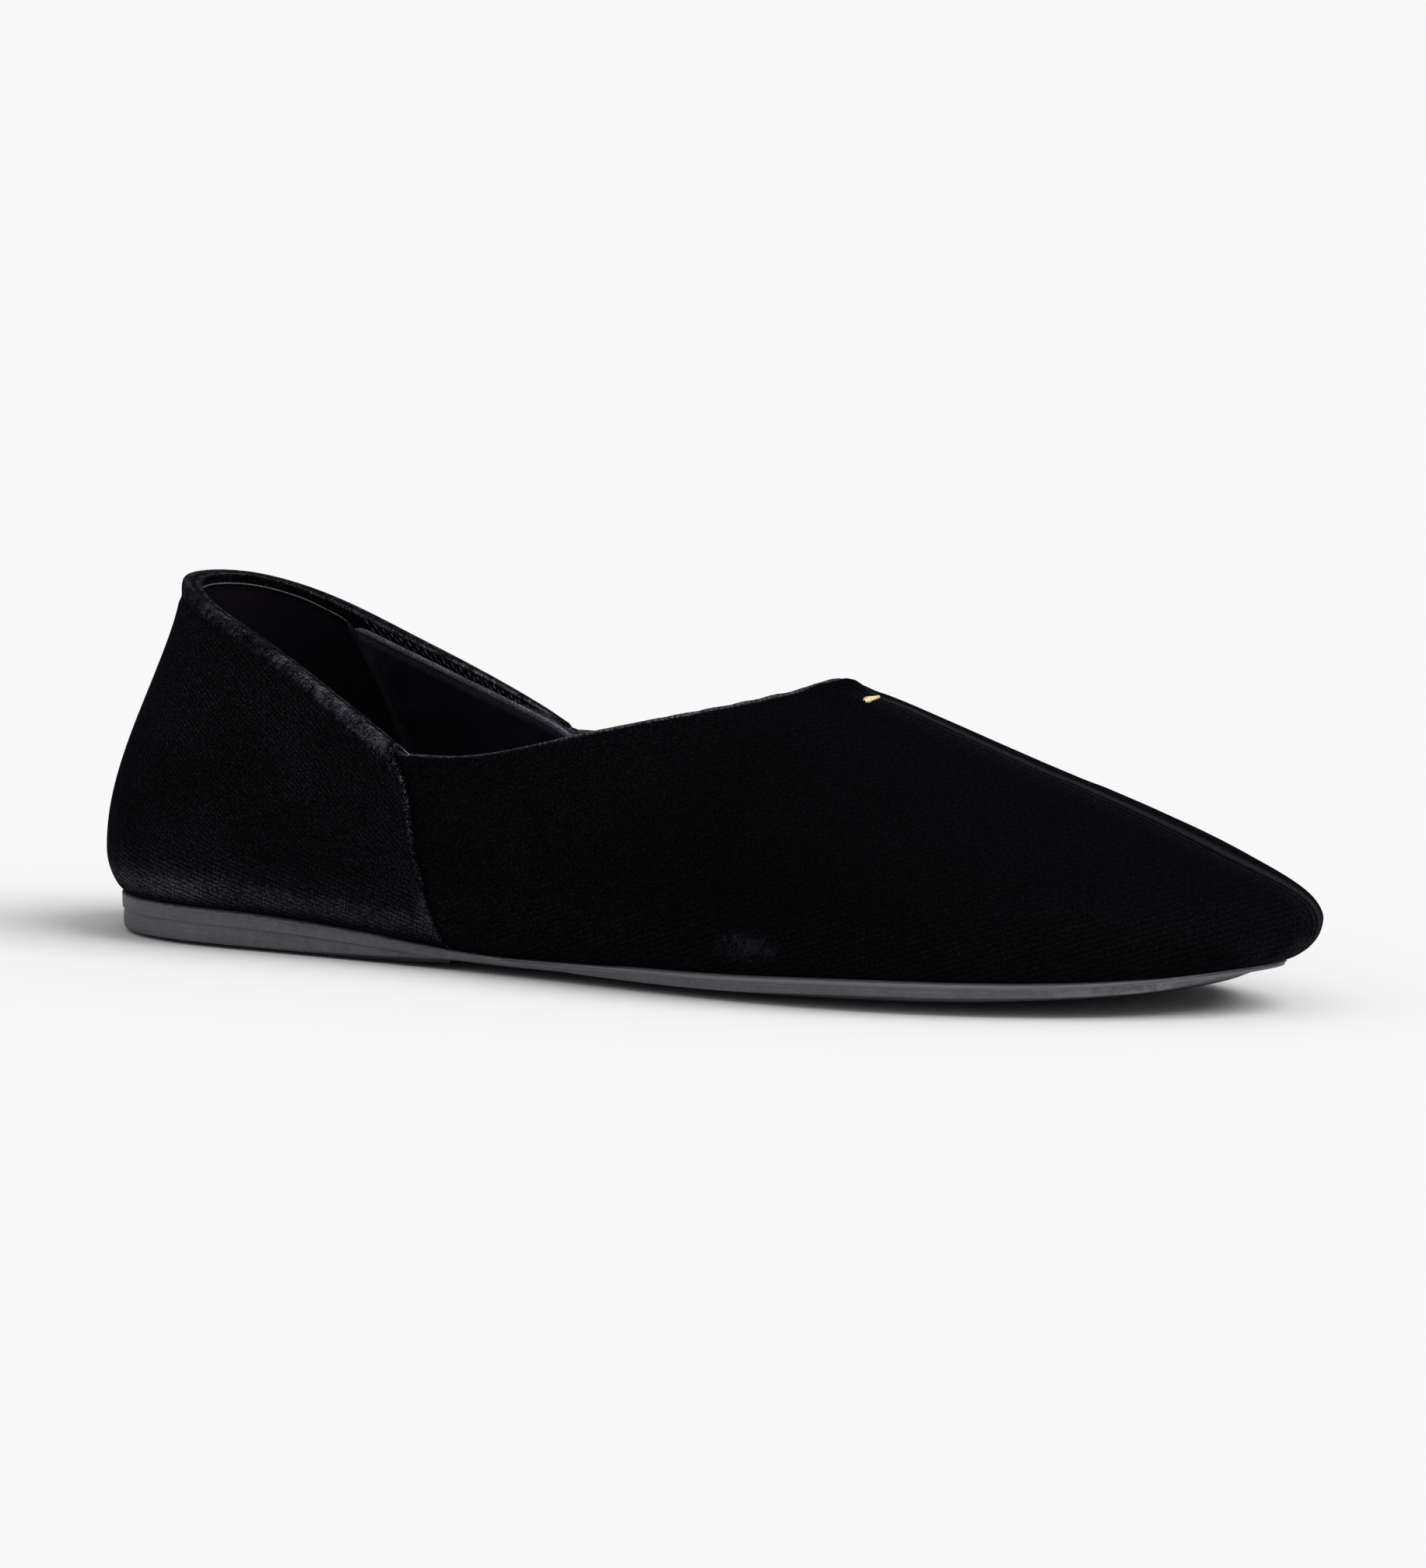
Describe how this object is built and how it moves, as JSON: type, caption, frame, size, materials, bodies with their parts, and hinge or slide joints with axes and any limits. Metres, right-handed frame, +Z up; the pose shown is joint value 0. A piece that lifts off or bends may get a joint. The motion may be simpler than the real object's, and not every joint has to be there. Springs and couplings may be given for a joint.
{
  "type": "slipper flat",
  "caption": "Right-foot velvet slipper flat: hollow upper with a side-notched collar and a peaked throat, thin cambered outsole, low wedge heel lift and an insole.",
  "frame": {"origin": "bottom centre of the bounding box, on the floor that the shoe stands on", "axes": "+X along the shoe from heel to toe, +Y to the inner side of the foot, +Z up"},
  "size_m": [0.2584, 0.0832, 0.0691],
  "materials": {
    "upper": "black velvet with a soft nap",
    "insole": "dark matt lining leather",
    "outsole": "black burnished edge",
    "heel_lift": "black, half matt"
  },
  "bodies": {
    "root": {"upper": "upper", "insole": "insole", "outsole": "outsole", "heel_lift": "heel_lift"}
  },
  "joints": []
}
